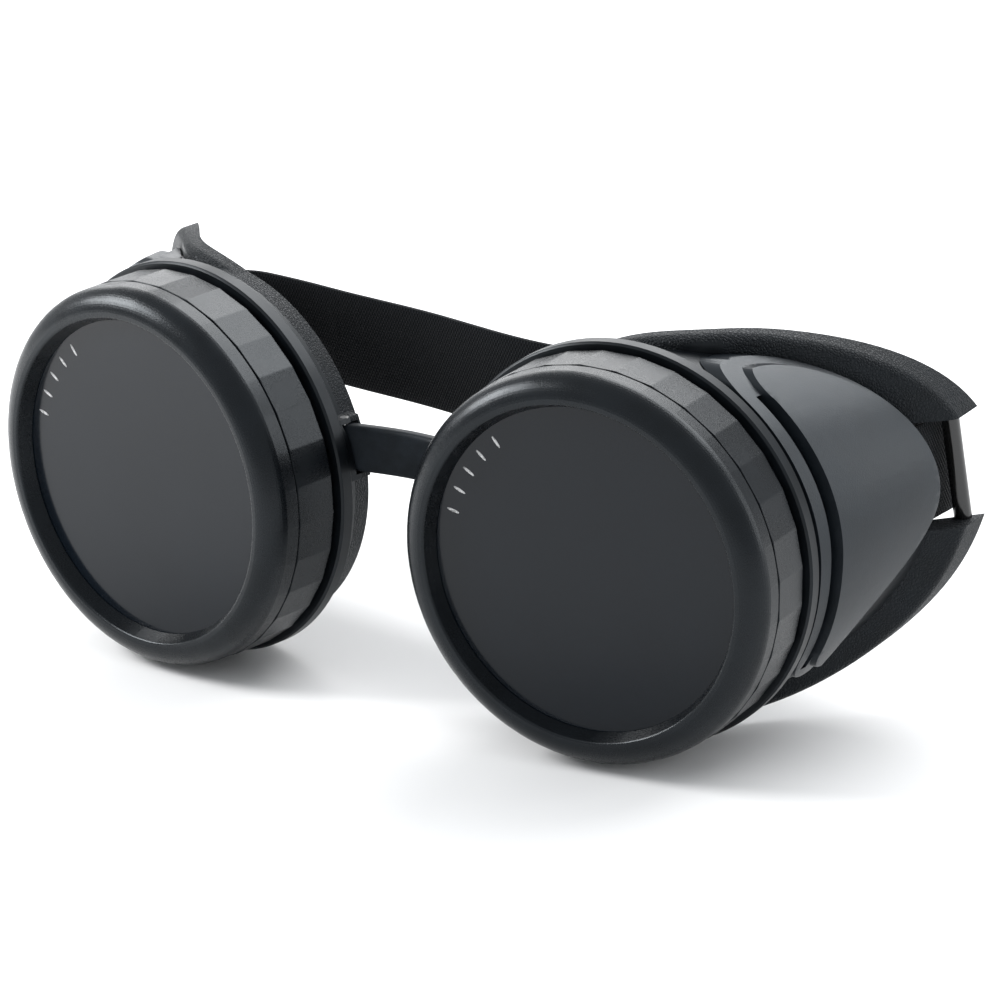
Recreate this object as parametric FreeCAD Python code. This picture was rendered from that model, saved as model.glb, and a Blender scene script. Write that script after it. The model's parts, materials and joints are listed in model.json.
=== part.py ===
import FreeCAD, Part
import math
import os

# Welding goggles: two round eye cups with screw-on lens rings, joined by a flexible
# nose bridge and held by an elastic head strap that runs inside a bar on each cup and is
# riveted under the vent cover.
# Row frame: +X to the wearer's left, +Y towards the face, +Z up, x = 0 midway between the
# lenses.  Each cup is drawn in its own frame first (x outward to the temple, y back along
# the lens axis from the front lip of the ring, z up) and then set in place.

# ---------------------------------------------------------------- driving dimensions (mm)
LENS_AXIS_HALF_SPACING = 38.05
TOE_OUT_DEG = 6.46
LENS_AXIS_HEIGHT = 28.3
FRONT_LIP_Y = -27.64

# lenses and washers, as depths behind the front lip of the ring
LENS_RADIUS = 25.0
LENS_SEAT_DEPTH = 2.3
FILTER_THICKNESS = 2.4
SPACER_THICKNESS = 0.5
CLEAR_THICKNESS = 1.6
WASHER_THICKNESS = 0.65
WASHER_BORE_RADIUS = 23.2
LENS_EDGE_CHAMFER = 0.25
FACE_GAP = 0.05

# retaining ring
LIP_EDGE_RADIUS = 23.5
SIGHT_RADIUS = 22.6
CROWN_RADIUS = 3.5
COLLAR_RADIUS = 27.42
PARTING_DEPTH = 5.42
PARTING_GROOVE = 0.15
RING_LENGTH = 12.15
LENS_POCKET_RADIUS = 25.3
FACET_COUNT = 32
FACET_PHASE_LEFT_DEG = 2.6
FACET_PHASE_RIGHT_DEG = 4.75
RING_BACK_CHAMFER = 0.3

# screw thread between ring and cup
THREAD_PITCH = 2.0
SPIGOT_ROOT_RADIUS = 25.0
RING_ROOT_RADIUS = 26.0
THREAD_HEIGHT = 0.65
THREAD_BASE_WIDTH = 1.0
THREAD_CREST_WIDTH = 0.6
THREAD_SINK = 0.2
SPIGOT_THREAD_START = 8.4
SPIGOT_THREAD_LENGTH = 3.6
RING_THREAD_LENGTH = 2.1

# eye cup
SPIGOT_DEPTH = 7.5
CUP_BORE_RADIUS = 23.2
CAVITY_FRONT_RADIUS = 23.9
FLANGE_RADIUS = 28.3
FLANGE_FRONT = 12.9
FLANGE_BACK = 15.1
BODY_FRONT_RADIUS = 26.9
# outline of the face lip seen along the lens axis: its radius about a centre moved to the
# temple, every 30 degrees from the temple upwards
RIM_CENTRE_X = 3.0
RIM_RADII = [33.4, 34.2, 30.2, 27.9, 26.6, 26.4, 27.3, 26.6, 26.0, 26.9, 28.0, 30.2]
# depth of the face lip: level on the nasal side, then sloping back to the temple
RIM_NASAL_DEPTH = 20.4
RIM_SLOPE = 0.93
RIM_BEND_X = 5.0
RIM_BEND_ROUND = 3.0
LIP_WIDTH = 3.2
LIP_TEMPLE_EXTRA = 2.6
LIP_REACH_X = 33.0
LIP_FRONT_RADIUS = 1.5
# wall sections: depth, and share of the way from the front circle to the lip's outline
WALL_SECTIONS = [(15.1, 0.0), (27.0, 0.42), (39.0, 0.76), (52.0, 1.0)]
NECK_INSET = 2.4
OPENING_INSET = 4.6
TEMPLE_EXTRA_INSET = 2.2
TEMPLE_HALF_ANGLE_DEG = 50.0
EAR_ANGLE_DEG = 9.0

# strap window and bar
WINDOW_LOW_Z = -2.4
WINDOW_HIGH_Z = 13.0
WINDOW_INNER_X = 28.9
WINDOW_FRONT_Y = 32.7
BAR_RADIUS = 1.25
BAR_TOP = FreeCAD.Vector(32.6, 45.0, 15.0)
BAR_BOTTOM = FreeCAD.Vector(33.8, 47.0, -4.6)

# vent cover on the temple side, drawn as an outline of (depth, height) in the cup's frame
COVER_BASE_LIFT = 0.15
COVER_RIM_LIFT = 1.25
COVER_PLATE_LIFT = 2.0
COVER_FRONT_DEPTH = 15.6
COVER_OUTLINE = [(20.3, 25.4), (25.0, 24.8), (29.5, 22.9), (33.5, 19.6), (36.8, 14.6),
                 (38.9, 8.4), (38.9, 2.6), (36.0, -2.4), (31.0, -6.9), (25.5, -11.6),
                 (21.6, -17.4)]
COVER_PLATE_SHRINK = 0.9
COVER_CORNER = 3.4
COVER_LIP_GAP = 0.35
POCKET_GAP = 0.2
COVER_SLOT_FRONT = 17.5
COVER_SLOT_WIDTH = 1.3
COVER_SLOT_HIGH = 21.8
COVER_SLOT_LOW = -15.8
VENT_HOLE_RADIUS = 1.4
VENT_HOLE_DEPTH = 22.5
VENT_HOLE_ANGLES = [-24.0, -12.0, 0.0, 12.0, 24.0, 36.0]

# nose bridge, a soft band whose end beads snap into a socket on each cup
BRIDGE_TOP_Z = 9.1
BRIDGE_BOTTOM_Z = 2.4
BRIDGE_THICKNESS = 2.2
BRIDGE_MID_DEPTH = 15.2
BRIDGE_BOW = 0.27
BRIDGE_BEAD_RADIUS = 1.3
BEAD_CENTRE_X = -25.7
BEAD_CENTRE_Y = 16.7
SOCKET_RADIUS = 1.55
SOCKET_OUTER_X = -28.4
SOCKET_BACK_Y = 18.8
SOCKET_WIDTH = 4.0
SOCKET_SINK = 0.4
SOCKET_CAP = 0.9
SOCKET_CLEARANCE = 0.2
BRIDGE_PIN_RADIUS = 0.6

# head strap: its end runs on the cup wall, as (outward, depth) in the cup's frame
STRAP_THICKNESS = 1.3
STRAP_LOW_Z = -2.15
STRAP_HIGH_Z = 12.25
STRAP_END_RUN = [(30.2, 33.2), (30.2, 38.0), (30.4, 42.5), (30.8, 47.0)]
# plan route behind the cups: distance from the middle, depth behind the ring lips
CORNER_RUN = [(62.9, 53.1), (60.4, 55.0), (56.0, 55.3)]
FRONT_RUN = [(-49.0, 54.6), (-42.0, 53.6), (-25.0, 51.6), (-12.0, 49.2), (0.0, 47.9),
             (12.0, 49.2), (25.0, 51.6), (37.5, 52.8)]
TAIL_RUN = [(50.0, 55.8), (44.0, 56.9), (36.0, 57.2), (29.0, 55.5), (20.0, 52.6),
            (14.0, 51.4)]

# two rivets at each strap end
RIVET_DEPTH = 35.6
RIVET_HEIGHTS = [1.4, 8.7]
RIVET_SHANK_RADIUS = 0.9
RIVET_SHANK_FOOT_X = 27.6
RIVET_HEAD_RADIUS = 1.8
RIVET_HEAD_THICKNESS = 0.7

# strap slider, a flat three-bar frame behind the wearer's left cup
SLIDER_X = 36.0
SLIDER_DEPTH = 54.65
SLIDER_TURN_DEG = 5.0
SLIDER_LENGTH = 12.0
SLIDER_WINDOW = 3.0
SLIDER_THICKNESS = 1.8
SLIDER_MARGIN = 2.4

O = FreeCAD.Vector(0, 0, 0)
LENS_AXIS = FreeCAD.Vector(0, 1, 0)
UP = FreeCAD.Vector(0, 0, 1)
SIDES = {"left": 1, "right": -1}


def vec(x, y, z=0.0):
    """Short form of a FreeCAD vector."""
    return FreeCAD.Vector(x, y, z)


def turned(profile):
    """Solid of revolution about the lens axis from (radius, depth) corners."""
    corners = [vec(r, d) for r, d in profile]
    wire = Part.makePolygon(corners + [corners[0]])
    return Part.Face(wire).revolve(O, LENS_AXIS, 360)


def disc(radius, front, back):
    """Solid disc about the lens axis between two depths."""
    return Part.makeCylinder(radius, back - front, vec(0, front), LENS_AXIS)


def tube(outer, inner, front, back):
    """Ring of rectangular section about the lens axis."""
    return disc(outer, front, back).cut(disc(inner, front - 1, back + 1))


def place(shape, side):
    """Set a shape drawn in the outward cup frame onto the left (+1) or right (-1) side."""
    placed = shape.copy()
    if side < 0:
        placed = placed.mirror(O, vec(1, 0, 0))
    placed.rotate(O, UP, side * TOE_OUT_DEG)
    placed.translate(vec(side * LENS_AXIS_HALF_SPACING, FRONT_LIP_Y, LENS_AXIS_HEIGHT))
    return placed


def place_thread(shape, side):
    """Set a right-hand thread in place without mirroring it."""
    placed = shape.copy()
    placed.rotate(O, UP, side * TOE_OUT_DEG)
    placed.translate(vec(side * LENS_AXIS_HALF_SPACING, FRONT_LIP_Y, LENS_AXIS_HEIGHT))
    return placed


# ---------------------------------------------------------------- screw threads
def thread_ridge(root_radius, inward, start_depth, length):
    """Right-hand trapezoid ridge on a cylinder, running back from start_depth."""
    out = -1 if inward else 1
    base = root_radius - out * THREAD_SINK
    crest = root_radius + out * THREAD_HEIGHT
    half_base = THREAD_BASE_WIDTH / 2
    half_crest = THREAD_CREST_WIDTH / 2
    section = Part.makePolygon([vec(base, 0, -half_base), vec(crest, 0, -half_crest),
                                vec(crest, 0, half_crest), vec(base, 0, half_base),
                                vec(base, 0, -half_base)])
    spine = Part.Wire(Part.makeHelix(THREAD_PITCH, length, root_radius).Edges)
    ridge = spine.makePipeShell([section], True, True)
    ridge.rotate(O, vec(1, 0, 0), -90)
    ridge.translate(vec(0, start_depth))
    return ridge


# ---------------------------------------------------------------- lens ring and lens pack
def facet_prism(phase_deg):
    """Regular prism whose flats are level with the collar, behind the parting line."""
    corner_radius = COLLAR_RADIUS / math.cos(math.pi / FACET_COUNT)
    step = 360.0 / FACET_COUNT
    corners = []
    for i in range(FACET_COUNT + 1):
        angle = math.radians(phase_deg + i * step)
        corners.append(vec(corner_radius * math.cos(angle), PARTING_DEPTH,
                           corner_radius * math.sin(angle)))
    face = Part.Face(Part.makePolygon(corners))
    return face.extrude(vec(0, RING_LENGTH - PARTING_DEPTH))


def crown_body():
    """Turned front of the ring: flat lip, quarter-round crown and smooth collar."""
    centre_r = COLLAR_RADIUS - CROWN_RADIUS
    mid = math.radians(45)
    arc = Part.Arc(vec(centre_r, 0),
                   vec(centre_r + CROWN_RADIUS * math.sin(mid),
                       CROWN_RADIUS - CROWN_RADIUS * math.cos(mid)),
                   vec(COLLAR_RADIUS, CROWN_RADIUS)).toShape()
    groove_front = PARTING_DEPTH - PARTING_GROOVE
    rest = Part.makePolygon([vec(COLLAR_RADIUS, CROWN_RADIUS), vec(COLLAR_RADIUS, groove_front),
                             vec(COLLAR_RADIUS - PARTING_GROOVE, PARTING_DEPTH),
                             vec(0, PARTING_DEPTH), vec(0, 0), vec(centre_r, 0)])
    wire = Part.Wire([arc] + rest.Edges)
    return Part.Face(wire).revolve(O, LENS_AXIS, 360)


def ring_blank(phase_deg):
    """Lens ring without its thread: crown, facets, lip cone, lens pocket and thread bore."""
    bore_start = SPIGOT_THREAD_START - THREAD_BASE_WIDTH
    back_cone = turned([(COLLAR_RADIUS + 1, RING_LENGTH - RING_BACK_CHAMFER - 1),
                        (COLLAR_RADIUS + 1, RING_LENGTH + 0.1),
                        (COLLAR_RADIUS - RING_BACK_CHAMFER - 0.1, RING_LENGTH + 0.1)])
    inside = turned([(0, -1), (LIP_EDGE_RADIUS, -1), (LIP_EDGE_RADIUS, 0),
                     (SIGHT_RADIUS, LENS_SEAT_DEPTH), (LENS_POCKET_RADIUS, LENS_SEAT_DEPTH),
                     (LENS_POCKET_RADIUS, bore_start), (RING_ROOT_RADIUS, bore_start + 0.7),
                     (RING_ROOT_RADIUS, RING_LENGTH + 1), (0, RING_LENGTH + 1)])
    blank = crown_body().fuse(facet_prism(phase_deg))
    return blank.cut(back_cone).cut(inside)


def lens(radius, front, thickness):
    """Flat round lens with small edge chamfers."""
    c = LENS_EDGE_CHAMFER
    return turned([(0, front), (radius - c, front), (radius, front + c),
                   (radius, front + thickness - c), (radius - c, front + thickness),
                   (0, front + thickness)])


def lens_pack():
    """Filter lens, spacer ring and clear lens, stacked back from the seat in the ring."""
    front = LENS_SEAT_DEPTH + FACE_GAP
    pack = {"filter_lens": lens(LENS_RADIUS, front, FILTER_THICKNESS)}
    front += FILTER_THICKNESS
    pack["lens_spacer"] = tube(LENS_RADIUS, WASHER_BORE_RADIUS, front, front + SPACER_THICKNESS)
    front += SPACER_THICKNESS
    pack["clear_lens"] = lens(LENS_RADIUS, front, CLEAR_THICKNESS)
    return pack


def seal_washer():
    """Rubber washer on the front face of the cup's threaded spigot."""
    back = SPIGOT_DEPTH
    front = back - WASHER_THICKNESS + FACE_GAP
    return tube(SPIGOT_ROOT_RADIUS - 0.2, WASHER_BORE_RADIUS, front, back)


# ---------------------------------------------------------------- eye cup shell
def rim_radius(angle_deg, inset, temple_inset):
    """Radius of the lip's outline at an angle, less an even inset and one at the temple."""
    index = int(round(angle_deg * len(RIM_RADII) / 360)) % len(RIM_RADII)
    away = abs((angle_deg - EAR_ANGLE_DEG + 180) % 360 - 180) / TEMPLE_HALF_ANGLE_DEG
    swell = math.cos(math.pi / 2 * away) ** 2 if away < 1 else 0.0
    return RIM_RADII[index] - inset - temple_inset * swell


def section_wire(depth, share, front_radius, inset, temple_inset=0.0):
    """Closed smooth outline at one depth, between the front circle and the lip's outline."""
    points = []
    for angle_deg in range(0, 360, 360 // len(RIM_RADII)):
        angle = math.radians(angle_deg)
        rim = rim_radius(angle_deg, inset, temple_inset)
        radius = front_radius + (rim - front_radius) * share
        points.append(vec(RIM_CENTRE_X * share + radius * math.cos(angle), depth,
                          radius * math.sin(angle)))
    curve = Part.BSplineCurve()
    curve.interpolate(Points=points, PeriodicFlag=True)
    return Part.Wire([curve.toShape()])


def wall_solid(lift):
    """Solid inside the cup's outer wall, or inside a surface lifted off it by some mm."""
    wires = []
    for depth, share in WALL_SECTIONS:
        wires.append(section_wire(depth, share, BODY_FRONT_RADIUS + lift, NECK_INSET - lift))
    return Part.makeLoft(wires, True, False)


def rim_depth(x):
    """Depth of the face lip at a distance outward: a smooth bend between two straights."""
    past = x - RIM_BEND_X
    return RIM_NASAL_DEPTH + RIM_SLOPE / 2 * (past + math.hypot(past, RIM_BEND_ROUND))


def behind_rim(width, temple_extra):
    """Everything behind a line that runs in front of the lip's back edge by its width."""
    line = []
    for x in range(-36, 49, 6):
        reach = max(0.0, x / LIP_REACH_X) ** 2
        line.append(vec(x, rim_depth(x) - width - temple_extra * reach, -50))
    curve = Part.BSplineCurve()
    curve.interpolate(line)
    far = vec(0, 120, 0)
    corners = Part.makePolygon([line[-1], line[-1] + far, line[0] + far, line[0]])
    return Part.Face(Part.Wire([curve.toShape()] + corners.Edges)).extrude(vec(0, 0, 100))


def round_front(lip):
    """Rounds the outer edge of the lip's front face, the closed edge nearest the ring."""
    front = min(lip.Edges, key=lambda edge: edge.BoundBox.Center.y)
    return lip.makeFillet(LIP_FRONT_RADIUS, [front])


def cup_shell():
    """Cup wall: threaded spigot core, flange, scooped body and proud face lip."""
    beyond = behind_rim(0.0, 0.0)
    body = wall_solid(0.0).cut(beyond)
    lip_outline = section_wire(FLANGE_BACK + 0.5, 1.0, BODY_FRONT_RADIUS, 0.0)
    lip = Part.Face(lip_outline).extrude(vec(0, 45, 0)).cut(beyond)
    lip = round_front(lip.common(behind_rim(LIP_WIDTH, LIP_TEMPLE_EXTRA)))
    flange = turned([(0, FLANGE_FRONT), (FLANGE_RADIUS - 0.3, FLANGE_FRONT),
                     (FLANGE_RADIUS, FLANGE_FRONT + 0.3), (FLANGE_RADIUS, FLANGE_BACK - 0.2),
                     (FLANGE_RADIUS - 0.2, FLANGE_BACK), (0, FLANGE_BACK)])
    spigot = disc(SPIGOT_ROOT_RADIUS, SPIGOT_DEPTH, FLANGE_FRONT)
    front, back = WALL_SECTIONS[0], WALL_SECTIONS[-1]
    cavity = Part.makeLoft([section_wire(front[0], 0.0, CAVITY_FRONT_RADIUS, OPENING_INSET),
                            section_wire(back[0], 1.0, CAVITY_FRONT_RADIUS, OPENING_INSET,
                                         TEMPLE_EXTRA_INSET)], True, True)
    shell = body.fuse(lip).fuse(flange).fuse(spigot)
    return shell.cut(cavity).cut(disc(CUP_BORE_RADIUS, SPIGOT_DEPTH - 1, FLANGE_BACK + 0.5))


def strap_window():
    """Block cut out of the temple edge of the cup for the strap, open to the back."""
    size = vec(20, 30, WINDOW_HIGH_Z - WINDOW_LOW_Z)
    return Part.makeBox(size.x, size.y, size.z, vec(WINDOW_INNER_X, WINDOW_FRONT_Y, WINDOW_LOW_Z))


def strap_pocket():
    """Space inside the vent cover for the riveted strap end and the rivet heads."""
    face = STRAP_END_RUN[0][0] + STRAP_THICKNESS / 2
    strap_space = Part.makeBox(face + POCKET_GAP, 30, WINDOW_HIGH_Z - WINDOW_LOW_Z,
                               vec(0, WINDOW_FRONT_Y, WINDOW_LOW_Z))
    low = RIVET_HEIGHTS[0] - RIVET_HEAD_RADIUS - POCKET_GAP
    high = RIVET_HEIGHTS[-1] + RIVET_HEAD_RADIUS + POCKET_GAP
    head_space = Part.makeBox(face + RIVET_HEAD_THICKNESS + 2 * POCKET_GAP,
                              2 * RIVET_HEAD_RADIUS + 2 * POCKET_GAP, high - low,
                              vec(0, RIVET_DEPTH - RIVET_HEAD_RADIUS - POCKET_GAP, low))
    return strap_space.fuse(head_space)


def strap_bar():
    """Round bar across the strap window, its ends held in the two ears."""
    direction = BAR_BOTTOM.sub(BAR_TOP)
    return Part.makeCylinder(BAR_RADIUS, direction.Length, BAR_TOP, direction)


def vent_holes():
    """Row of round holes through the cup wall under the vent cover."""
    drills = []
    for angle_deg in VENT_HOLE_ANGLES:
        angle = math.radians(angle_deg)
        direction = vec(math.cos(angle), 0, math.sin(angle))
        start = direction * (BODY_FRONT_RADIUS - 6) + vec(0, VENT_HOLE_DEPTH)
        drills.append(Part.makeCylinder(VENT_HOLE_RADIUS, 12, start, direction))
    return Part.makeCompound(drills)


# ---------------------------------------------------------------- vent cover
def cover_prism(front_depth, shrink):
    """D-shaped prism across the temple wall: straight front edge, rounded rear."""
    centre_y, centre_z = 27.0, 4.0
    points = []
    for depth, height in COVER_OUTLINE:
        reach = math.hypot(depth - centre_y, height - centre_z)
        keep = (reach - shrink) / reach
        points.append(vec(8.0, centre_y + (depth - centre_y) * keep,
                          centre_z + (height - centre_z) * keep))
    rear = Part.BSplineCurve()
    rear.interpolate(points)
    top, low = points[0], points[-1]
    top_end = vec(8.0, front_depth, top.z - COVER_CORNER)
    low_end = vec(8.0, front_depth, low.z + COVER_CORNER)
    top_mid = vec(8.0, front_depth + 0.22 * (top.y - front_depth), top.z - 0.3 * COVER_CORNER)
    low_mid = vec(8.0, front_depth + 0.22 * (low.y - front_depth), low.z + 0.3 * COVER_CORNER)
    edges = [rear.toShape(), Part.Arc(low, low_mid, low_end).toShape(),
             Part.makeLine(low_end, top_end), Part.Arc(top_end, top_mid, top).toShape()]
    return Part.Face(Part.Wire(edges)).extrude(vec(40, 0, 0))


def vent_cover():
    """Raised D-shaped cover with an air slot along its front edge and a hollow behind it."""
    inner = wall_solid(COVER_BASE_LIFT)
    skirt = wall_solid(COVER_RIM_LIFT).common(cover_prism(COVER_FRONT_DEPTH, 0.0))
    plate_front = COVER_SLOT_FRONT + COVER_SLOT_WIDTH
    plate = wall_solid(COVER_PLATE_LIFT).common(cover_prism(plate_front, COVER_PLATE_SHRINK))
    slot = Part.makeBox(40, COVER_SLOT_WIDTH, COVER_SLOT_HIGH - COVER_SLOT_LOW,
                        vec(8, COVER_SLOT_FRONT, COVER_SLOT_LOW))
    lip_space = behind_rim(LIP_WIDTH + COVER_LIP_GAP, LIP_TEMPLE_EXTRA)
    lip_space = lip_space.cut(strap_window())
    return skirt.cut(slot).fuse(plate).cut(inner).cut(lip_space).cut(strap_pocket())


# ---------------------------------------------------------------- nose bridge
def bridge_socket():
    """Block on the nasal wall behind the flange; its open-sided bore takes the bridge bead."""
    height = BRIDGE_TOP_Z - BRIDGE_BOTTOM_Z
    block = Part.makeBox(SOCKET_WIDTH, SOCKET_BACK_Y - FLANGE_BACK + SOCKET_SINK,
                         height + 2 * SOCKET_CAP,
                         vec(SOCKET_OUTER_X, FLANGE_BACK - SOCKET_SINK,
                             BRIDGE_BOTTOM_Z - SOCKET_CAP))
    return block.common(disc(FLANGE_RADIUS - 0.2, FLANGE_FRONT, SOCKET_BACK_Y + 1))


def bead_space(radius, clearance):
    """Upright cylinder for the bridge bead, or with clearance for the bore around it."""
    low = BRIDGE_BOTTOM_Z - clearance
    height = BRIDGE_TOP_Z - BRIDGE_BOTTOM_Z + 2 * clearance
    return Part.makeCylinder(radius, height, vec(BEAD_CENTRE_X, BEAD_CENTRE_Y, low))


def bridge_pin():
    """Thin pin down through the socket and the bead."""
    height = BRIDGE_TOP_Z - BRIDGE_BOTTOM_Z + 2 * SOCKET_CAP
    return Part.makeCylinder(BRIDGE_PIN_RADIUS, height,
                             vec(BEAD_CENTRE_X, BEAD_CENTRE_Y, BRIDGE_BOTTOM_Z - SOCKET_CAP))


def bead_centre(side):
    """Place of the bridge bead in the row frame, at lens-axis height."""
    point = Part.Vertex(vec(BEAD_CENTRE_X, BEAD_CENTRE_Y))
    return place(point, side).Point


def ribbon(points, thickness, low, high):
    """Upright band of even thickness along a smooth plan curve through the points."""
    middle = Part.BSplineCurve()
    middle.interpolate(points)
    count = 4 * len(points)
    near, far = [], []
    for i in range(count + 1):
        u = middle.FirstParameter + (middle.LastParameter - middle.FirstParameter) * i / count
        along = middle.tangent(u)[0]
        across = vec(-along.y, along.x) * (thickness / 2)
        near.append(middle.value(u).add(across))
        far.append(middle.value(u).sub(across))
    side_a, side_b = Part.BSplineCurve(), Part.BSplineCurve()
    side_a.interpolate(near)
    side_b.interpolate(far)
    edges = [side_a.toShape(), Part.makeLine(near[-1], far[-1]),
             side_b.toShape(), Part.makeLine(far[0], near[0])]
    face = Part.Face(Part.Wire(Part.__sortEdges__(edges)))
    band = face.extrude(vec(0, 0, high - low))
    band.translate(vec(0, 0, low))
    return band


def bridge_band(clearance):
    """Band bowed back a little in the middle, or with clearance for the slots it leaves by."""
    left, right = bead_centre(1), bead_centre(-1)
    mid_y = FRONT_LIP_Y + BRIDGE_MID_DEPTH
    quarter_y = mid_y - BRIDGE_BOW * (mid_y - left.y)
    points = [vec(right.x, right.y), vec(right.x / 2, quarter_y), vec(0, mid_y),
              vec(left.x / 2, quarter_y), vec(left.x, left.y)]
    return ribbon(points, BRIDGE_THICKNESS + 2 * clearance,
                  LENS_AXIS_HEIGHT + BRIDGE_BOTTOM_Z - clearance,
                  LENS_AXIS_HEIGHT + BRIDGE_TOP_Z + clearance)


def nose_bridge():
    """Soft band with a round bead at each end."""
    band = bridge_band(0.0)
    for side in SIDES.values():
        band = band.fuse(place(bead_space(BRIDGE_BEAD_RADIUS, 0.0), side))
        band = band.cut(place(bridge_pin(), side))
    return band


# ---------------------------------------------------------------- head strap and slider
def end_run(side):
    """Plan points of a strap end on the cup wall, from the rivets back, in the row frame."""
    points = []
    for outward, depth in STRAP_END_RUN:
        point = place(Part.Vertex(vec(outward, depth)), side).Point
        points.append(vec(point.x, point.y))
    return points


def row_run(route, side=1):
    """Plan points of a strap run behind the cups, in the row frame."""
    return [vec(side * x, FRONT_LIP_Y + depth) for x, depth in route]


def webbing(points, side):
    """Elastic webbing along a route that starts at one cup, with its two rivet holes."""
    band = ribbon(points, STRAP_THICKNESS,
                  LENS_AXIS_HEIGHT + STRAP_LOW_Z, LENS_AXIS_HEIGHT + STRAP_HIGH_Z)
    return band.cut(place(rivet_shanks(), side))


def head_strap():
    """Long run of webbing, from the right cup behind both cups to the slider."""
    return webbing(end_run(-1) + row_run(CORNER_RUN, -1) + row_run(FRONT_RUN), -1)


def strap_tail():
    """Adjusting run of webbing, from the left cup over the slider to its free end."""
    return webbing(end_run(1) + row_run(CORNER_RUN) + row_run(TAIL_RUN), 1)


def rivet_shanks():
    """Shanks of the two rivets at a strap end."""
    top = STRAP_END_RUN[0][0] + STRAP_THICKNESS / 2 + 0.1
    shanks = []
    for height in RIVET_HEIGHTS:
        shanks.append(Part.makeCylinder(RIVET_SHANK_RADIUS, top - RIVET_SHANK_FOOT_X,
                                        vec(RIVET_SHANK_FOOT_X, RIVET_DEPTH, height),
                                        vec(1, 0, 0)))
    return Part.makeCompound(shanks)


def strap_rivets():
    """The two flat-headed rivets that hold a strap end to the cup wall."""
    start = STRAP_END_RUN[0][0] + STRAP_THICKNESS / 2 + FACE_GAP
    studs = []
    for shank, height in zip(rivet_shanks().Solids, RIVET_HEIGHTS):
        head = Part.makeCylinder(RIVET_HEAD_RADIUS, RIVET_HEAD_THICKNESS,
                                 vec(start, RIVET_DEPTH, height), vec(1, 0, 0))
        head = head.makeChamfer(0.25, [head.Edges[0]])
        studs.append(shank.fuse(head))
    return Part.makeCompound(studs)


def strap_slider():
    """Flat frame with two windows and a bar between them."""
    height = STRAP_HIGH_Z - STRAP_LOW_Z + 2 * SLIDER_MARGIN
    low = STRAP_LOW_Z - SLIDER_MARGIN
    frame = Part.makeBox(SLIDER_LENGTH, SLIDER_THICKNESS, height,
                         vec(-SLIDER_LENGTH / 2, -SLIDER_THICKNESS / 2, low))
    frame = frame.makeFillet(0.6, frame.Edges)
    end_bar = (SLIDER_LENGTH - 2 * SLIDER_WINDOW) / 3
    for side in (-1, 1):
        middle_x = side * (end_bar + SLIDER_WINDOW) / 2
        window = Part.makeBox(SLIDER_WINDOW, 2 * SLIDER_THICKNESS,
                              STRAP_HIGH_Z - STRAP_LOW_Z + 0.8,
                              vec(middle_x - SLIDER_WINDOW / 2, -SLIDER_THICKNESS,
                                  STRAP_LOW_Z - 0.4))
        frame = frame.cut(window)
    frame.rotate(O, UP, SLIDER_TURN_DEG)
    frame.translate(vec(SLIDER_X, FRONT_LIP_Y + SLIDER_DEPTH, LENS_AXIS_HEIGHT))
    return frame


# ---------------------------------------------------------------- build and write
def eye_cup(side):
    """One cup as moulded, set in place, with its right-hand spigot thread."""
    shell = cup_shell().fuse(bridge_socket())
    shell = shell.cut(strap_window()).cut(strap_bar()).cut(vent_holes())
    shell = shell.cut(bead_space(SOCKET_RADIUS, SOCKET_CLEARANCE))
    shell = shell.cut(bridge_pin()).cut(rivet_shanks())
    thread = thread_ridge(SPIGOT_ROOT_RADIUS, False, SPIGOT_THREAD_START, SPIGOT_THREAD_LENGTH)
    shell = place(shell, side).cut(bridge_band(SOCKET_CLEARANCE))
    return shell.fuse(place_thread(thread, side))


def retaining_ring(side):
    """One lens ring, set in place, with its right-hand thread half a pitch off the cup's."""
    phase = FACET_PHASE_LEFT_DEG if side > 0 else FACET_PHASE_RIGHT_DEG
    start = SPIGOT_THREAD_START + THREAD_PITCH / 2
    thread = thread_ridge(RING_ROOT_RADIUS, True, start, RING_THREAD_LENGTH)
    return place(ring_blank(phase), side).fuse(place_thread(thread, side))


def write(node, shape):
    """Write one sub-part as a STEP file and return its exact bounding box."""
    print(node, "solids", len(shape.Solids), "valid", shape.isValid(),
          "volume", round(shape.Volume, 1))
    piece = shape.Solids[0] if len(shape.Solids) == 1 else shape
    piece.exportStep("parts/" + node + ".step")
    return piece.optimalBoundingBox(False)


def main():
    os.makedirs("parts", exist_ok=True)
    whole = FreeCAD.BoundBox()
    for name, side in SIDES.items():
        whole.add(write(name + "_eye_cup", eye_cup(side)))
        whole.add(write(name + "_retaining_ring", retaining_ring(side)))
        whole.add(write(name + "_vent_cover", place(vent_cover(), side)))
        whole.add(write(name + "_strap_bar", place(strap_bar(), side)))
        whole.add(write(name + "_strap_rivets", place(strap_rivets(), side)))
        whole.add(write(name + "_bridge_pin", place(bridge_pin(), side)))
        whole.add(write(name + "_seal_washer", place(seal_washer(), side)))
        for piece, shape in lens_pack().items():
            whole.add(write(name + "_" + piece, place(shape, side)))
    whole.add(write("nose_bridge", nose_bridge()))
    whole.add(write("head_strap", head_strap()))
    whole.add(write("strap_tail", strap_tail()))
    whole.add(write("strap_slider", strap_slider()))
    print("box", [round(v, 2) for v in (whole.XMin, whole.YMin, whole.ZMin,
                                        whole.XMax, whole.YMax, whole.ZMax)])


main()
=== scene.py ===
import json
import math

import bmesh
import bpy
import numpy as np
from mathutils import Matrix, Vector


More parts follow.
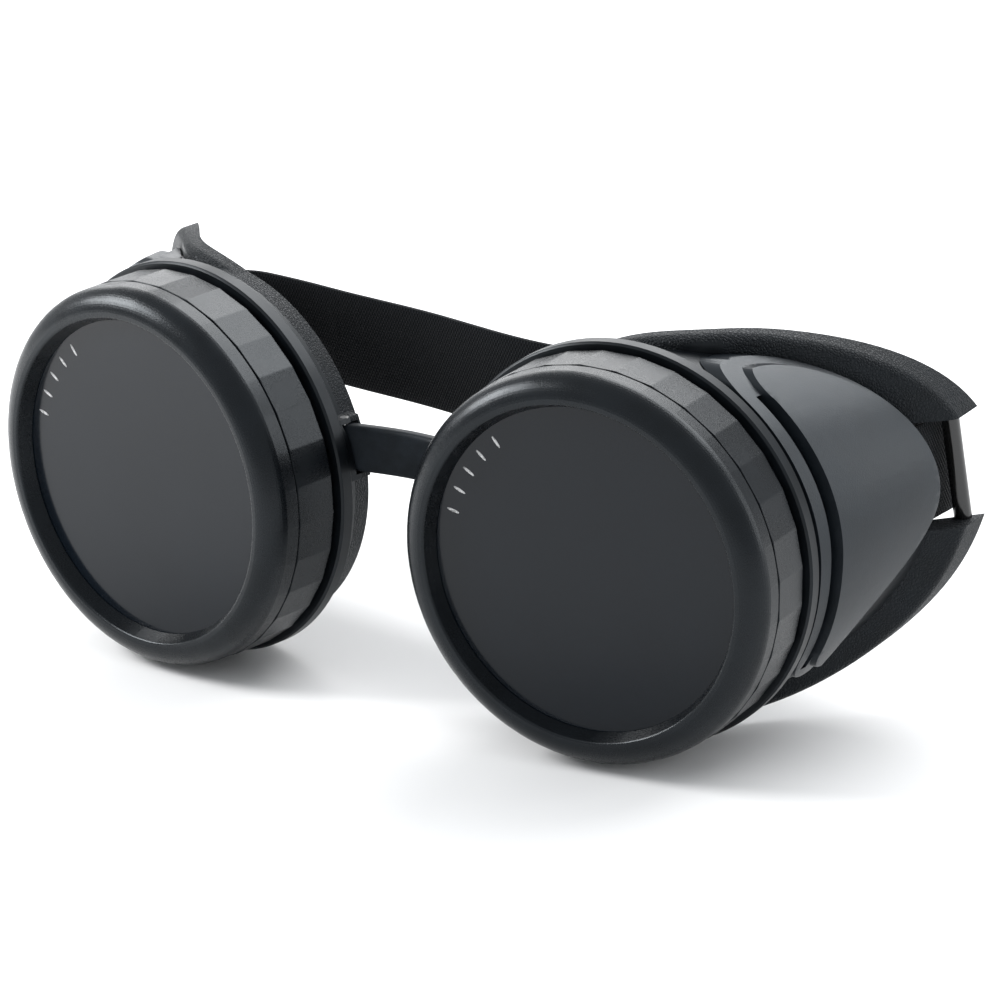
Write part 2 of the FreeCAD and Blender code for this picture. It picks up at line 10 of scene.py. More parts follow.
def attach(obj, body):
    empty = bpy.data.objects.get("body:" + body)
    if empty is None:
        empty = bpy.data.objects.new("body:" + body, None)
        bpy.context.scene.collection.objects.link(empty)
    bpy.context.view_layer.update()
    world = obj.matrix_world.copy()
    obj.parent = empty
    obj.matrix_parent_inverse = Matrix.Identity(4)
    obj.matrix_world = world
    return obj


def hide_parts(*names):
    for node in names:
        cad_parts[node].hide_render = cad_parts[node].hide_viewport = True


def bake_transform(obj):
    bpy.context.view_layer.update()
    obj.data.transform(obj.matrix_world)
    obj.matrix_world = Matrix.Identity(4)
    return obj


# Welding goggles.  Shapes are worked out in millimetres in each eye cup's own frame
# (outward to the temple, depth behind the ring's front lip, height over the lens axis)
# and then set in place in the row frame, in metres.

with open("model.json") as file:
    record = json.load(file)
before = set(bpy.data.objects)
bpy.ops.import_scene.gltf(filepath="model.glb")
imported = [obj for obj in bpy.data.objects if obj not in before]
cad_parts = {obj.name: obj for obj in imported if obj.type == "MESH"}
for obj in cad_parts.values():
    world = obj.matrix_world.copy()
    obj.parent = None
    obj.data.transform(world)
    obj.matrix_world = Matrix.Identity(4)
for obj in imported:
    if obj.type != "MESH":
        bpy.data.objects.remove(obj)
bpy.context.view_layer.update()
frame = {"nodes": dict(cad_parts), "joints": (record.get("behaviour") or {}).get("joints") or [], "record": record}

MM = 0.001
SIDES = {"left": 1, "right": -1}
JOINTS = {joint["name"]: joint for joint in frame["joints"]}
SCREW = JOINTS["left_ring_screw"]
SCREW_DEPTH = 3.0
FRONT = Vector(SCREW["axis"])
TOE_OUT = math.atan2(FRONT.x, -FRONT.y)
LIP_CENTRE = Vector(SCREW["pos_m"]) + FRONT * SCREW_DEPTH * MM
FRONT_LIP_Y = LIP_CENTRE.y / MM
LENS_HEIGHT = LIP_CENTRE.z / MM

# ring, in millimetres
FACETS = 32
FACET_PHASE_DEG = {"left": 2.6, "right": 4.75}
COLLAR_RADIUS = 27.42
CROWN_RADIUS = 3.5
LIP_EDGE_RADIUS = 23.5
SIGHT_RADIUS = 22.6
LENS_SEAT = 2.3
PARTING_DEPTH = 5.42
RING_LENGTH = 12.15
RING_BORE = 26.0
POCKET_RADIUS = 25.3

# face lip, in millimetres: depth of its back edge at a distance outward, and its width
RIM_NASAL_DEPTH = 20.4
RIM_SLOPE = 0.93
RIM_BEND = 5.0
RIM_ROUND = 3.0
LIP_WIDTH = 3.2
LIP_EXTRA = 2.6
LIP_REACH = 33.0

# strap webbing, in millimetres: ends on the cup wall, then plan points behind the cups
STRAP_THICKNESS = 1.3
STRAP_LOW = -2.15
STRAP_HIGH = 12.25
STRAP_END_RUN = [(30.2, 33.2), (30.2, 38.0), (30.4, 42.5), (30.8, 47.0)]
CORNER_RUN = [(62.9, 53.1), (60.4, 55.0), (56.0, 55.3)]
FRONT_RUN = [(-49.0, 54.6), (-42.0, 53.6), (-25.0, 51.6), (-12.0, 49.2), (0.0, 47.9),
             (12.0, 49.2), (25.0, 51.6), (37.5, 52.8)]
TAIL_RUN = [(50.0, 55.8), (44.0, 56.9), (36.0, 57.2), (29.0, 55.5), (20.0, 52.6),
            (14.0, 51.4)]

# nose bridge, in millimetres
BRIDGE_LOW = 2.4
BRIDGE_HIGH = 9.1
BRIDGE_THICKNESS = 2.2
BRIDGE_MID_DEPTH = 15.2
BRIDGE_BOW = 0.27
BEAD_X = -25.7
BEAD_DEPTH = 16.7
BEAD_REACH = 1.0

# printed ticks on the lens, in millimetres
MARK_ANGLES_DEG = [128.0, 137.0, 146.0, 155.0, 164.0]
MARK_RADIUS = 20.6
MARK_LENGTH = 1.9
MARK_WIDTH = 0.42
MARK_FACE = 2.35

# camera
CAMERA_FROM_LIP = Vector((489.775, -603.848, 276.434))
CAMERA_BACK = Vector((0.57452, -0.74824, 0.33177))
CAMERA_ROLL_DEG = -2.72
CAMERA_LENS = 219.76


# ---------------------------------------------------------------- shader graphs
class Wire:
    """A shader output that takes part in Python arithmetic; each operator adds a Math node."""

    def __init__(self, graph, socket):
        self.graph = graph
        self.socket = socket

    def math(self, operation, *others):
        """Math node on this value and the others."""
        values = dict(enumerate((self,) + others))
        return self.graph.node("ShaderNodeMath", {"operation": operation}, values)

    def __add__(self, other):
        return self.math("ADD", other)

    __radd__ = __add__

    def __sub__(self, other):
        return self.math("SUBTRACT", other)

    def __rsub__(self, other):
        return self * -1.0 + other

    def __mul__(self, other):
        return self.math("MULTIPLY", other)

    __rmul__ = __mul__

    def __truediv__(self, other):
        return self.math("DIVIDE", other)

    def __pow__(self, other):
        return self.math("POWER", other)

    def smooth(self, low, high):
        """Smooth step from 0 at low to 1 at high."""
        return self.graph.node("ShaderNodeMapRange", {"interpolation_type": "SMOOTHSTEP"},
                               {"Value": self, "From Min": low, "From Max": high})


class Graph:
    """Node graph of one material around its Principled shader."""

    def __init__(self, name):
        self.material = bpy.data.materials.new(name)
        self.material.use_nodes = True
        self.tree = self.material.node_tree
        self.shader = self.tree.nodes["Principled BSDF"]

    def node(self, kind, settings=None, sockets=None, output=0):
        """Adds a node, applies its settings, feeds its sockets, and returns one output."""
        made = self.tree.nodes.new(kind)
        for key, value in (settings or {}).items():
            setattr(made, key, value)
        for key, value in (sockets or {}).items():
            self.feed(made.inputs[key], value)
        return Wire(self, made.outputs[output])

    def feed(self, socket, value):
        """Links a wire to a socket, or sets the socket's own value."""
        if isinstance(value, Wire):
            self.tree.links.new(value.socket, socket)
        else:
            socket.default_value = value

    def place(self):
        """Object coordinates, in metres."""
        return self.node("ShaderNodeTexCoord", output="Object")

    def surface(self):
        """The piece's own coordinates along and across its surface, in metres."""
        return self.node("ShaderNodeUVMap", {"uv_map": "along_across"})

    def split(self, vector):
        """The three components of a vector."""
        made = self.node("ShaderNodeSeparateXYZ", {}, {"Vector": vector})
        outputs = made.socket.node.outputs
        return [Wire(self, outputs[i]) for i in range(3)]

    def noise(self, vector, per_metre, detail=2.0, rough=0.5):
        """Noise from 0 to 1 with a number of features per metre."""
        return self.node("ShaderNodeTexNoise", {},
                         {"Vector": vector, "Scale": per_metre, "Detail": detail,
                          "Roughness": rough})

    def cells(self, vector, per_metre, feature="F1"):
        """Distance pattern of scattered cells."""
        return self.node("ShaderNodeTexVoronoi", {"feature": feature},
                         {"Vector": vector, "Scale": per_metre})

    def mix(self, factor, first, second):
        """Colour between two colours."""
        made = self.node("ShaderNodeMix", {"data_type": "RGBA"}, {0: factor}, output=2)
        inputs = made.socket.node.inputs
        self.feed(inputs[6], first)
        self.feed(inputs[7], second)
        return made

    def bump(self, height, depth):
        """Normal of a relief whose full height is depth metres."""
        return self.node("ShaderNodeBump", {}, {"Height": height, "Distance": depth})

    def finish(self, **sockets):
        """Sets the shader's sockets, with underscores for spaces, and gives the material."""
        for key, value in sockets.items():
            self.feed(self.shader.inputs[key.replace("_", " ")], value)
        return self.material


def shade(value, tint=(1.0, 1.0, 1.0)):
    """Opaque colour of a grey value with a slight tint."""
    return (value * tint[0], value * tint[1], value * tint[2], 1.0)


COOL = (0.72, 0.95, 1.25)
SHEEN_TINT = (0.87, 0.94, 1.0, 1.0)


def moulded_plastic(name, dark, light, roughness, shine, grain_depth):
    """Black moulded plastic: fine texture of the tool, soft mottling and faint handling marks."""
    g = Graph(name)
    place = g.place()
    texture = g.noise(place, 5200.0, 3.0, 0.6)
    mottle = g.noise(place, 160.0, 4.0, 0.55)
    rubs = g.noise(place, 42.0, 3.0, 0.7).smooth(0.45, 0.75)
    colour = g.mix(mottle.smooth(0.3, 0.7), shade(dark, COOL), shade(light, COOL))
    rough = roughness + (mottle - 0.5) * 0.10 - rubs * 0.05 + (texture - 0.5) * 0.10
    relief = texture * 0.7 + mottle * 0.3
    return g.finish(Base_Color=colour, Roughness=rough, Specular_IOR_Level=shine,
                    Specular_Tint=SHEEN_TINT,
                    Normal=g.bump(relief, grain_depth))


def cup_plastic():
    """Cup plastic: satin walls, and pebbled leather grain on the lip that meets the face."""
    g = Graph("cup_plastic_grained")
    place = g.place()
    x, y, _ = g.split(place)
    outward = x.math("ABSOLUTE") - LIP_CENTRE.x
    depth = y - LIP_CENTRE.y
    out = outward * math.cos(TOE_OUT) + depth * math.sin(TOE_OUT)
    back = depth * math.cos(TOE_OUT) - outward * math.sin(TOE_OUT)
    past = out / MM - RIM_BEND
    rim = (past + (past * past + RIM_ROUND ** 2) ** 0.5) * (RIM_SLOPE / 2) + RIM_NASAL_DEPTH
    reach = (out / (MM * LIP_REACH)).math("MAXIMUM", 0.0) ** 2.0
    lip_front = rim - LIP_WIDTH - reach * LIP_EXTRA
    lip = (back / MM - lip_front).smooth(-0.15, 0.15)
    pebbles = g.cells(place, 2400.0, "SMOOTH_F1")
    creases = g.cells(place, 2400.0, "DISTANCE_TO_EDGE").smooth(0.0, 0.25)
    texture = g.noise(place, 5200.0, 3.0, 0.6)
    mottle = g.noise(place, 190.0, 4.0, 0.55)
    relief = texture * 0.06 + lip * (creases * 0.8 - pebbles * 0.35)
    colour = g.mix(mottle.smooth(0.3, 0.7), shade(0.0030, COOL), shade(0.0060, COOL))
    rough = 0.36 + lip * 0.12 + (mottle - 0.5) * 0.12 + (1 - creases) * lip * 0.15
    return g.finish(Base_Color=colour, Roughness=rough, Specular_IOR_Level=0.24,
                    Specular_Tint=SHEEN_TINT, Normal=g.bump(relief, 0.00014))


def filter_glass():
    """Dark filter glass: polished, with the faintest wiping smears."""
    g = Graph("dark_filter_glass")
    place = g.place()
    smear = g.noise(place, 70.0, 3.0, 0.6)
    specks = g.cells(place, 420.0).smooth(0.03, 0.06)
    colour = g.mix(smear, shade(0.0045, (0.6, 1.0, 1.6)), shade(0.0075, (0.65, 1.0, 1.5)))
    rough = 0.10 + smear * 0.08 + (1 - specks) * 0.1
    return g.finish(Base_Color=colour, Roughness=rough, Specular_IOR_Level=0.24)


def clear_glass():
    """Clear impact lens behind the filter, seen only from the face side."""
    g = Graph("clear_impact_glass")
    smear = g.noise(g.place(), 70.0, 3.0, 0.6)
    colour = g.mix(smear, shade(0.035, (0.9, 1.0, 1.05)), shade(0.05, (0.9, 1.0, 1.05)))
    return g.finish(Base_Color=colour, Roughness=0.05 + smear * 0.08, IOR=1.5)


def webbing():
    """Ribbed woven elastic: cross ribs of covered rubber, woven columns and loose lint; painted shade darkens the
    weave's hollows and lightens its raised tops.
    """
    g = Graph("black_woven_elastic")
    along, across, _ = g.split(g.surface())
    place = g.place()
    column = (across * (2 * math.pi / 0.0009)).math("SINE")
    shift = column.math("SIGN") * 0.5
    rib = ((along / 0.00055 + shift * 0.5) * (2 * math.pi)).math("SINE")
    fibre = g.noise(place, 4200.0, 3.0, 0.7)
    lint = g.noise(place, 900.0, 5.0, 0.75).smooth(0.60, 0.78)
    relief = rib * 0.34 + column.math("ABSOLUTE") * 0.36 + fibre * 0.3
    # painted shade: the colour follows the weave relief, lighter on the raised rib tops and darker in the hollows
    # between ribs and columns
    lift = (rib * 0.5 + 0.5) * column.math("ABSOLUTE")
    colour = g.mix(lift, shade(0.0035, COOL), shade(0.0090, COOL))
    colour = g.mix(lint * 0.16, colour, shade(0.07))
    return g.finish(Base_Color=colour, Roughness=0.82 + (fibre - 0.5) * 0.2,
                    Sheen_Weight=0.04, Sheen_Roughness=0.5, Specular_IOR_Level=0.12,
                    Normal=g.bump(relief, 0.00014))


def bridge_rubber():
    """Soft moulded rubber with a dull bloom."""
    g = Graph("bridge_rubber_bloomed")
    place = g.place()
    texture = g.noise(place, 3800.0, 3.0, 0.6)
    bloom = g.noise(place, 240.0, 4.0, 0.6)
    colour = g.mix(bloom.smooth(0.35, 0.7), shade(0.006, COOL), shade(0.013, COOL))
    return g.finish(Base_Color=colour, Roughness=0.5 + (bloom - 0.5) * 0.2,
                    Specular_IOR_Level=0.18, Specular_Tint=SHEEN_TINT,
                    Normal=g.bump(texture * 0.6 + bloom * 0.4, 0.00005))


def coated_steel(name, value, roughness, metallic):
    """Steel wire or stud with a thin black coat, rubbed a little in places."""
    g = Graph(name)
    place = g.place()
    drawn = g.noise(place, 900.0, 3.0, 0.6)
    rub = g.noise(place, 260.0, 4.0, 0.7).smooth(0.55, 0.8)
    colour = g.mix(rub, shade(value), shade(value * 1.9))
    return g.finish(Base_Color=colour, Roughness=roughness + (drawn - 0.5) * 0.12,
                    Metallic=metallic, Coat_Weight=0.3, Coat_Roughness=0.1,
                    Normal=g.bump(drawn, 0.00002))


def fibre_or_rubber(name, value):
    """Plain flat washer stock with a fibrous face."""
    g = Graph(name)
    place = g.place()
    fibre = g.noise(place, 1600.0, 4.0, 0.7)
    colour = g.mix(fibre, shade(value * 0.7), shade(value * 1.3))
    return g.finish(Base_Color=colour, Roughness=0.7 + (fibre - 0.5) * 0.2,
                    Normal=g.bump(fibre, 0.00005))


def index_ink():
    """White printing ink, a little broken."""
    g = Graph("white_index_ink")
    broken = g.noise(g.place(), 2600.0, 3.0, 0.6).smooth(0.3, 0.55)
    colour = g.mix(broken, shade(0.28), shade(0.62))
    return g.finish(Base_Color=colour, Roughness=0.55 + (broken - 0.5) * 0.1)


MATERIALS = {
    "index_ink": index_ink(),
    "cup_plastic": cup_plastic(),
    "ring_plastic": moulded_plastic("ring_plastic_satin", 0.003, 0.005, 0.28, 0.26, 0.00003),
    "cover_plastic": moulded_plastic("cover_plastic_satin", 0.007, 0.011, 0.36, 0.38, 0.00003),
    "bar_steel": coated_steel("bar_steel_coated", 0.006, 0.18, 0.0),
    "rivet_steel": coated_steel("rivet_steel_black", 0.03, 0.35, 0.6),
    "pin_steel": coated_steel("pin_steel_drawn", 0.35, 0.3, 1.0),
    "washer_rubber": fibre_or_rubber("washer_rubber_flat", 0.02),
    "filter_glass": filter_glass(),
    "spacer_card": fibre_or_rubber("spacer_fibre", 0.03),
    "clear_glass": clear_glass(),
    "bridge_rubber": bridge_rubber(),
    "strap_elastic": webbing(),
    "slider_plastic": moulded_plastic("slider_plastic_satin", 0.010, 0.015, 0.3, 0.5, 0.00003),
}
SLOT_OF_NODE = {part["node"]: part["material_slot"] for part in frame["record"]["subparts"]}


def dress(obj, slot):
    """Gives a piece the material of a slot."""
    obj.data.materials.clear()
    obj.data.materials.append(MATERIALS[slot])
    return obj


# ---------------------------------------------------------------- surfaces
def grid_object(name, points, closed_rows, closed_columns, surface=None):
    """Quad mesh over a grid of points in metres; surface holds each point's own coordinates."""
    rows, columns = points.shape[:2]
    index = np.arange(rows * columns).reshape(rows, columns)
    down = index if closed_rows else index[:-1]
    below = np.roll(index, -1, axis=0) if closed_rows else index[1:]
    if closed_columns:
        corners = (down, below, np.roll(below, -1, axis=1), np.roll(down, -1, axis=1))
    else:
        corners = (down[:, :-1], below[:, :-1], below[:, 1:], down[:, 1:])
    faces = np.stack([c.ravel() for c in corners], axis=1)
    mesh = bpy.data.meshes.new(name)
    mesh.from_pydata(points.reshape(-1, 3), [], faces.tolist())
    if surface is not None:
        layer = mesh.uv_layers.new(name="along_across")
        loops = np.empty(len(mesh.loops), np.int32)
        mesh.loops.foreach_get("vertex_index", loops)
        layer.data.foreach_set("uv", surface.reshape(-1, 2)[loops].ravel().astype(np.float32))
    mesh.shade_smooth()
    obj = bpy.data.objects.new(name, mesh)
    bpy.context.scene.collection.objects.link(obj)
    return obj


def seat(side, outward, depth, height):
    """Points of a cup's own frame, in millimetres, as points of the row frame in metres."""
    cos_toe, sin_toe = math.cos(TOE_OUT), math.sin(TOE_OUT)
    x = side * (LIP_CENTRE.x + MM * (outward * cos_toe - depth * sin_toe))
    y = LIP_CENTRE.y + MM * (outward * sin_toe + depth * cos_toe)
    return np.stack([x, y, LIP_CENTRE.z + MM * height + 0 * x], axis=-1)


def rounded(corners, steps=5):
    """Closed outline through (a, b, radius) corners, each rounded by a curve tangent to its
    two sides: weights (1-t)^2, 2t(1-t), t^2 on where it leaves, the corner, where it joins."""
    flat = np.array([c[:2] for c in corners], float)
    radii = np.array([c[2] for c in corners], float)
    before = np.roll(flat, 1, axis=0) - flat
    after = np.roll(flat, -1, axis=0) - flat
    before /= np.linalg.norm(before, axis=1, keepdims=True)
    after /= np.linalg.norm(after, axis=1, keepdims=True)
    t = np.linspace(0.0, 1.0, steps)[None, :, None]
    first = (flat + before * radii[:, None])[:, None]
    last = (flat + after * radii[:, None])[:, None]
    curve = (1 - t) ** 2 * first + 2 * t * (1 - t) * flat[:, None] + t ** 2 * last
    return curve.reshape(-1, 2)


def spline(points, count):
    """Even samples of a smooth curve through the points: a cubic in chord length whose
    bending is found by relaxing the curve's second differences at fixed points."""
    points = np.array(points, float)
    chord = np.concatenate([[0], np.cumsum(np.linalg.norm(np.diff(points, axis=0), axis=1))])
    n = len(points)
    h = np.diff(chord)
    system = np.eye(n)
    inner = np.arange(1, n - 1)
    system[inner, inner - 1] = h[:-1]
    system[inner, inner] = 2 * (h[:-1] + h[1:])
    system[inner, inner + 1] = h[1:]
    slopes = np.diff(points, axis=0) / h[:, None]
    right = np.zeros_like(points)
    right[1:-1] = 6 * np.diff(slopes, axis=0)
    bend = np.linalg.solve(system, right)
    s = np.linspace(0, chord[-1], count)
    k = np.clip(np.searchsorted(chord, s, side="right") - 1, 0, n - 2)
    a = ((chord[k + 1] - s) / h[k])[:, None]
    b = 1 - a
    hk = (h[k] ** 2)[:, None] / 6
    curve = a * points[k] + b * points[k + 1]
    return curve + ((a ** 3 - a) * bend[k] + (b ** 3 - b) * bend[k + 1]) * hk, s


# ---------------------------------------------------------------- rings
def ring_piece(name, side):
    """Retaining ring: a closed profile carried round the lens axis; behind the parting line
    the radius follows 32 flats, r / cos(angle from the flat's middle)."""
    crown = np.linspace(0.0, math.pi / 2, 15)[1:-1]
    centre = COLLAR_RADIUS - CROWN_RADIUS
    arc = [(centre + CROWN_RADIUS * math.sin(t), CROWN_RADIUS - CROWN_RADIUS * math.cos(t), 0.05)
           for t in crown]
    corners = [(SIGHT_RADIUS, LENS_SEAT, 0.12), (LIP_EDGE_RADIUS, 0.06, 0.3)] + arc
    corners += [(COLLAR_RADIUS, PARTING_DEPTH - 0.22, 0.06),
                (COLLAR_RADIUS - 0.22, PARTING_DEPTH - 0.16, 0.03),
                (COLLAR_RADIUS - 0.22, PARTING_DEPTH, 0.03),
                (COLLAR_RADIUS, PARTING_DEPTH + 0.02, 0.1),
                (COLLAR_RADIUS, RING_LENGTH - 0.05, 0.35),
                (RING_BORE, RING_LENGTH, 0.15), (RING_BORE, 8.1, 0.1),
                (POCKET_RADIUS, 7.4, 0.1), (POCKET_RADIUS, LENS_SEAT, 0.1)]
    profile = rounded(corners)
    step = 2 * math.pi / FACETS
    part = np.array([0.0, 0.035, 0.30, 0.70, 0.965])
    local = (np.arange(FACETS)[:, None] + part[None]).ravel() * step
    angle = local + math.radians(FACET_PHASE_DEG[name])
    proud = COLLAR_RADIUS * (1 / np.cos(local % step - step / 2) - 1)
    radius, depth = profile[:, :1], profile[:, 1:]
    outer = (radius > COLLAR_RADIUS - 0.6) & (depth > PARTING_DEPTH - 0.01)
    reach = radius + proud[None] * outer
    points = seat(side, reach * np.cos(angle), depth + 0 * reach, reach * np.sin(angle))
    obj = grid_object(name + "_ring_turned", points[:, ::side], True, True)
    finish_edges(obj)
    dress(obj, "ring_plastic")
    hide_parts(name + "_retaining_ring")
    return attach(obj, name + "_ring")


def finish_edges(obj):
    """Keeps flats flat between their narrow rounded edges."""
    bend = obj.modifiers.new("even_flats", "WEIGHTED_NORMAL")
    bend.keep_sharp = False
    bend.weight = 90


def eased(node, body, slot, ease):
    """A CAD piece with its sharp edges rounded off by some millimetres."""
    mesh = frame["nodes"][node].data.copy()
    work = bmesh.new()
    work.from_mesh(mesh)
    bmesh.ops.remove_doubles(work, verts=work.verts, dist=0.002 * MM)
    bmesh.ops.dissolve_limit(work, angle_limit=math.radians(0.3), verts=work.verts,
                             edges=work.edges)
    work.to_mesh(mesh)
    work.free()
    obj = bpy.data.objects.new(node + "_eased", mesh)
    bpy.context.scene.collection.objects.link(obj)
    mesh.shade_smooth()
    round_off = obj.modifiers.new("rounded_edges", "BEVEL")
    round_off.width = ease * MM
    round_off.segments = 3
    round_off.limit_method = "ANGLE"
    round_off.angle_limit = math.radians(28.0)
    round_off.harden_normals = False
    round_off.use_clamp_overlap = True
    finish_edges(obj)
    dress(obj, slot)
    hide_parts(node)
    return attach(obj, body)


# ---------------------------------------------------------------- lens marks
def index_marks(name, side):
    """Short printed ticks round the edge of the lens: thin rounded bars along radii."""
    turned = MARK_ANGLES_DEG if side > 0 else 180.0 - np.array(MARK_ANGLES_DEG)
    angles = np.radians(turned)[:, None, None]
    t = np.linspace(0, 2 * math.pi, 24, endpoint=False)[None, None, :]
    shrink = np.array([1.0, 1.0, 0.0])[None, :, None]
    lift = np.array([0.0, 0.03, 0.03])[None, :, None]
    along = MARK_RADIUS + MARK_LENGTH / 2 * np.cos(t) * shrink
    across = MARK_WIDTH / 2 * np.sin(t) * shrink
    outward = along * np.cos(angles) - across * np.sin(angles)
    height = along * np.sin(angles) + across * np.cos(angles)
    depth = MARK_FACE - lift + 0 * outward
    points = seat(side, outward, depth, height)
    parts = [grid_object("mark", p[:, ::side], False, True) for p in points]
    joined = join(parts, name + "_lens_ticks")
    joined.data.materials.append(MATERIALS["index_ink"])
    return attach(joined, name + "_lens_pack")


def join(parts, name):
    """One object from several."""
    work = bmesh.new()
    for part in parts:
        work.from_mesh(part.data)
        bpy.data.objects.remove(part)
    mesh = bpy.data.meshes.new(name)
    bmesh.ops.remove_doubles(work, verts=work.verts, dist=0.001 * MM)
    work.to_mesh(mesh)
    work.free()
    mesh.shade_smooth()
    obj = bpy.data.objects.new(name, mesh)
    bpy.context.scene.collection.objects.link(obj)
    return obj


# ---------------------------------------------------------------- strap and bridge
def band(name, route, thickness, low, high, edge):
    """Band along a plan route: a rounded oblong section carried along the curve, its long
    sides upright; across = half thickness times |cos|^edge, height = half height times
    |sin|^0.35, each with the sign of its cosine or sine."""
    count = 360
    path, along = spline(route, count)
    tangent = np.gradient(path, axis=0)
    tangent /= np.linalg.norm(tangent, axis=1, keepdims=True)
    normal = np.stack([-tangent[:, 1], tangent[:, 0]], axis=1)
    turn = np.linspace(0, 2 * math.pi, 64, endpoint=False)
    square = np.abs(np.cos(turn)) ** edge * np.sign(np.cos(turn))
    tall = np.abs(np.sin(turn)) ** 0.35 * np.sign(np.sin(turn))
    across = thickness / 2 * square
    height = (low + high) / 2 + (high - low) / 2 * tall
    x = path[:, :1] + normal[:, :1] * across[None]
    y = path[:, 1:] + normal[:, 1:] * across[None]
    z = LENS_HEIGHT + height[None] + 0 * x
    points = np.stack([x, y, z], axis=-1) * MM
    surface = np.stack([along[:, None] + 0 * x, height[None] + 0 * x], axis=-1) * MM
    obj = grid_object(name, points, False, True, surface)
    close_ends(obj, count, len(turn))
    return obj


def close_ends(obj, rows, columns):
    """Caps the two open ends of a band."""
    mesh = obj.data
    points = np.empty(len(mesh.vertices) * 3)
    mesh.vertices.foreach_get("co", points)
    polygons = [list(p.vertices) for p in mesh.polygons]
    uv = np.empty(len(mesh.loops) * 2, np.float32)
    mesh.uv_layers[0].data.foreach_get("uv", uv)
    polygons.append(list(range(columns)))
    polygons.append(list(range(rows * columns - 1, (rows - 1) * columns - 1, -1)))
    closed = bpy.data.meshes.new(obj.name)
    closed.from_pydata(points.reshape(-1, 3), [], polygons)
    layer = closed.uv_layers.new(name="along_across")
    full = np.zeros(len(closed.loops) * 2, np.float32)
    full[:len(uv)] = uv
    layer.data.foreach_set("uv", full)
    closed.shade_smooth()
    obj.data = closed


def strap_end(side):
    """Plan points of a strap end on the cup wall, in millimetres."""
    outward, depths = np.array(STRAP_END_RUN).T
    return (seat(side, outward, depths, 0 * depths)[:, :2] / MM).tolist()


def row_run(route, side=1):
    """Plan points of a run behind the cups, in millimetres."""
    return [(side * x, FRONT_LIP_Y + depth) for x, depth in route]


def straps():
    """Long run from the right cup to the slider, and adjusting run from the left cup."""
    runs = {"head_strap": strap_end(-1) + row_run(CORNER_RUN, -1) + row_run(FRONT_RUN),
            "strap_tail": strap_end(1) + row_run(CORNER_RUN) + row_run(TAIL_RUN)}
    for node, route in runs.items():
        obj = band(node + "_woven", route, STRAP_THICKNESS, STRAP_LOW, STRAP_HIGH, 0.5)
        dress(obj, "strap_elastic")
        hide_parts(node)
        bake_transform(obj)


def bead(side):
    """Plan point of the bridge bead, in millimetres."""
    x, y, _ = seat(side, np.array(BEAD_X), np.array(BEAD_DEPTH), np.array(0.0)) / MM
    return float(x), float(y)


def nose_bridge():
    """Soft band from one socket to the other, reaching past the pin at each end."""
    (left_x, left_y), (right_x, right_y) = bead(1), bead(-1)
    mid_y = FRONT_LIP_Y + BRIDGE_MID_DEPTH
    quarter_y = mid_y - BRIDGE_BOW * (mid_y - left_y)
    route = [(right_x - BEAD_REACH, right_y), (right_x / 2, quarter_y), (0, mid_y),
             (left_x / 2, quarter_y), (left_x + BEAD_REACH, left_y)]
    obj = band("nose_bridge_soft", route, BRIDGE_THICKNESS, BRIDGE_LOW, BRIDGE_HIGH, 0.6)
    dress(obj, "bridge_rubber")
    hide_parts("nose_bridge")
    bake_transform(obj)


# ---------------------------------------------------------------- stage
def floor():
    """Pale plain floor under the goggles."""
    size = 3.0
    points = np.array([[[-size, -size, 0.0], [-size, size, 0.0]],
                       [[size, -size, 0.0], [size, size, 0.0]]])
    obj = grid_object("pale_floor", points[:, ::-1], False, False)
    g = Graph("pale_floor_paint")
    speckle = g.noise(g.place(), 40.0, 2.0)
    colour = g.mix(speckle, (0.84, 0.84, 0.84, 1.0), (0.86, 0.86, 0.86, 1.0))
    obj.data.materials.append(g.finish(Base_Color=colour, Roughness=0.9))


def area_light(name, place, target, size, power):
    """Soft box at a place, turned to a target."""
    data = bpy.data.lights.new(name, "AREA")
    data.shape = "RECTANGLE"
    data.size, data.size_y = size
    data.energy = power
    obj = bpy.data.objects.new(name, data)
    obj.location = place
    obj.rotation_euler = (Vector(place) - Vector(target)).to_track_quat("Z", "Y").to_euler()
    bpy.context.scene.collection.objects.link(obj)


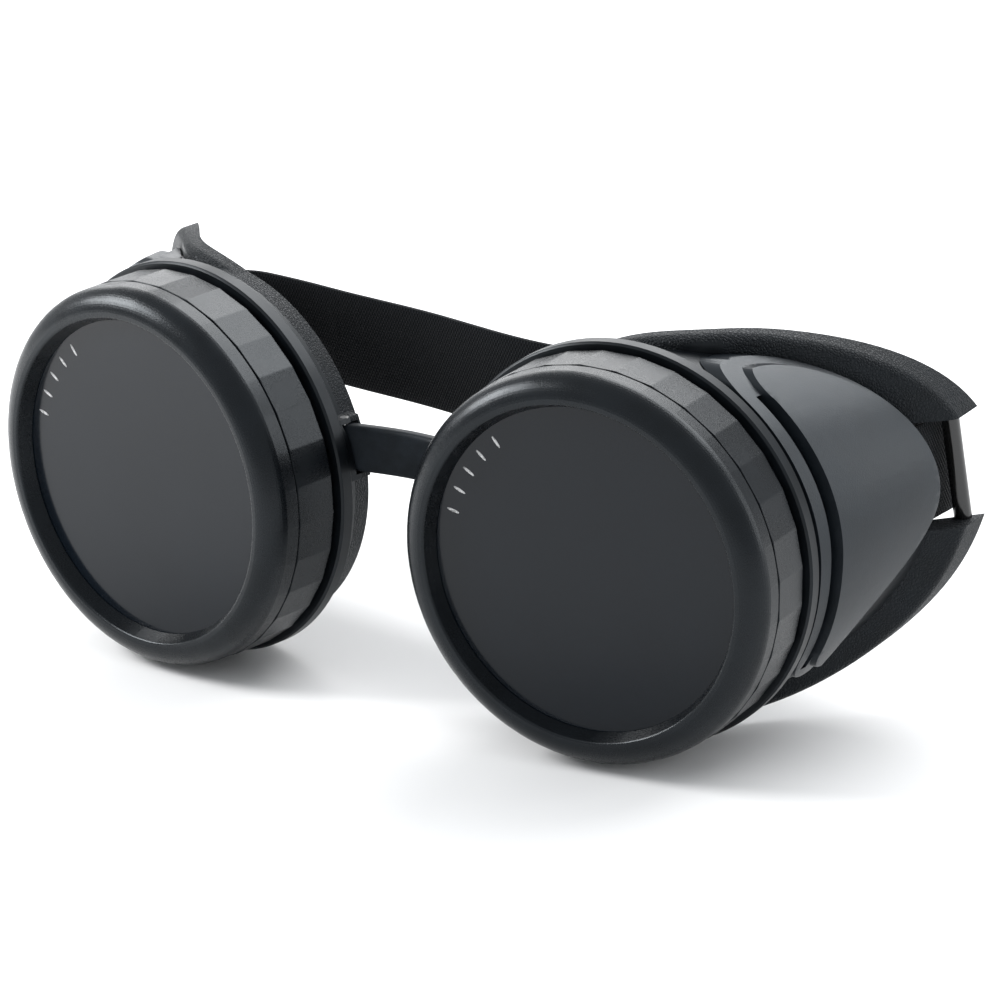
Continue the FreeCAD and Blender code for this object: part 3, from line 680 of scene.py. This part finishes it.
def studio():
    """Bright even surroundings, an overhead soft box, one at each side and one behind."""
    world = bpy.data.worlds.new("studio")
    world.use_nodes = True
    world.node_tree.nodes["Background"].inputs["Color"].default_value = (0.94, 0.97, 1.0, 1)
    world.node_tree.nodes["Background"].inputs["Strength"].default_value = 0.77
    bpy.context.scene.world = world
    bpy.context.scene.view_settings.view_transform = "Standard"
    middle = (0.0, 0.0, 0.03)
    area_light("overhead_box", (0.1, 0.75, 0.9), middle, (1.4, 0.5), 15.0)
    area_light("left_box", (-0.30, -0.16, 0.22), (-0.14, -0.10, 0.0), (0.16, 0.16), 1.6)
    area_light("right_box", (1.1, 0.8, 0.4), middle, (0.4, 0.8), 4.0)
    area_light("back_box", (-1.14, 1.5, 0.66), middle, (1.6, 0.7), 10.0)


def camera():
    """Camera at the viewing angle of a person looking down at the wearer's left side."""
    data = bpy.data.cameras.new("camera")
    data.sensor_width = 36.0
    data.lens = CAMERA_LENS
    data.clip_start, data.clip_end = 0.05, 20.0
    obj = bpy.data.objects.new("camera", data)
    back = CAMERA_BACK.normalized()
    right = Vector((0, 0, 1)).cross(back).normalized()
    up = back.cross(right)
    roll = math.radians(CAMERA_ROLL_DEG)
    rolled_right = right * math.cos(roll) + up * math.sin(roll)
    rolled_up = up * math.cos(roll) - right * math.sin(roll)
    turn = Matrix((rolled_right, rolled_up, back)).transposed()
    lip_origin = Vector((0.0, LIP_CENTRE.y, LIP_CENTRE.z))
    obj.matrix_world = Matrix.Translation(CAMERA_FROM_LIP * MM + lip_origin) @ turn.to_4x4()
    bpy.context.scene.collection.objects.link(obj)
    bpy.context.scene.camera = obj


# ---------------------------------------------------------------- put together
for node, obj in frame["nodes"].items():
    dress(obj, SLOT_OF_NODE[node])
for name, side in SIDES.items():
    ring_piece(name, side)
    eased(name + "_eye_cup", name + "_cup", "cup_plastic", 0.3)
    eased(name + "_vent_cover", name + "_cup", "cover_plastic", 0.25)
    index_marks(name, side)
straps()
nose_bridge()
floor()
studio()
camera()
